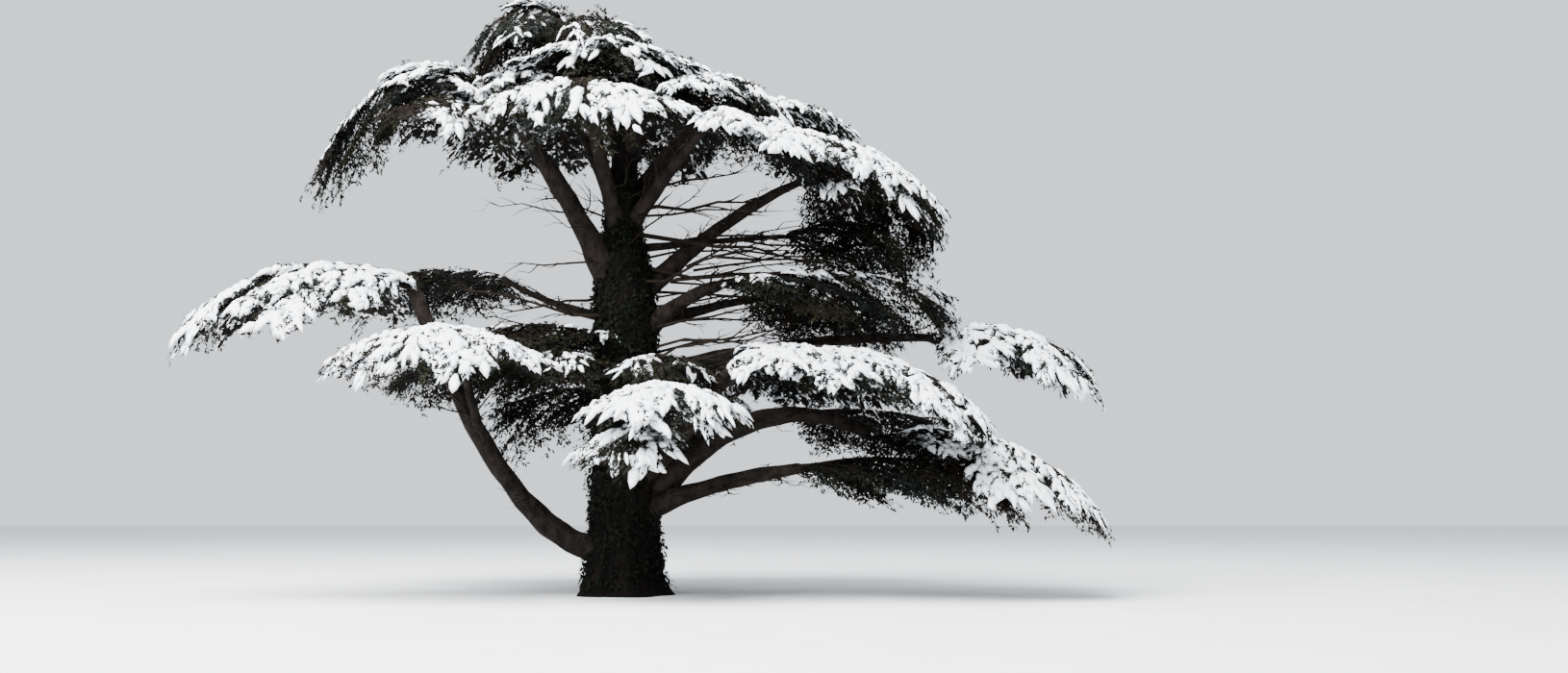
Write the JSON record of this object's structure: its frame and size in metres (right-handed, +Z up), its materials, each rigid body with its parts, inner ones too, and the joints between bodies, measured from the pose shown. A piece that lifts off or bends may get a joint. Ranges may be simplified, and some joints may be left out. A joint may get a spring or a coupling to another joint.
{
  "type": "cedar tree",
  "caption": "Old spreading cedar with a thick short trunk, arching boughs and tiered flat shelves of snow-laden foliage.",
  "frame": {"origin": "middle of the flat cut under the trunk, at ground level", "axes": "+Z up the trunk, +X to the right in the picture along the widest spread, -Y towards the viewer"},
  "size_m": [24.6921, 14.5201, 17.2839],
  "materials": {
    "bark": "rough fissured bark, matt",
    "foliage": "dense dark needles, matt",
    "snow": "settled snow, matt and bright",
    "ivy": "leathery evergreen leaves, faint gloss"
  },
  "bodies": {
    "root": {"trunk": "bark", "low_left_bough_foot": "bark", "low_left_bough_arm": "bark", "left_front_bough": "bark", "left_back_bough": "bark", "back_low_left_bough": "bark", "upper_left_bough": "bark", "left_stem": "bark", "top_right_bough": "bark", "right_fork_bough": "bark", "upper_right_bough": "bark", "right_under_bough": "bark", "right_mid_bough": "bark", "right_far_bough": "bark", "back_right_bough": "bark", "right_arch_bough_foot": "bark", "right_arch_bough_arm": "bark", "right_low_bough": "bark", "right_front_bough": "bark", "right_back_bough": "bark", "front_bough": "bark", "front_low_bough": "bark", "back_low_bough": "bark", "back_low_right_bough": "bark", "back_upper_left_bough": "bark", "back_upper_bough": "bark", "back_upper_right_bough": "bark", "cap_left_shelf": "foliage", "cap_right_shelf": "foliage", "top_front_shelf": "foliage", "top_right_shelf": "foliage", "upper_left_shelf": "foliage", "upper_left_inner_shelf": "foliage", "upper_front_shelf": "foliage", "upper_right_front_shelf": "foliage", "upper_right_shelf": "foliage", "right_under_shelf": "foliage", "left_shelf": "foliage", "left_back_shelf": "foliage", "left_front_shelf": "foliage", "back_low_left_shelf": "foliage", "middle_left_shelf": "foliage", "middle_front_shelf": "foliage", "front_shelf": "foliage", "front_low_shelf": "foliage", "right_mid_shelf": "foliage", "back_right_shelf": "foliage", "right_far_shelf": "foliage", "right_front_shelf": "foliage", "right_low_shelf": "foliage", "right_foot_shelf": "foliage", "right_back_shelf": "foliage", "low_left_inner_shelf": "foliage", "back_low_shelf": "foliage", "back_low_right_shelf": "foliage", "back_upper_left_shelf": "foliage", "back_upper_shelf": "foliage", "back_upper_right_shelf": "foliage", "cap_front_shelf": "foliage", "left_mid_shelf": "foliage"}
  },
  "joints": []
}
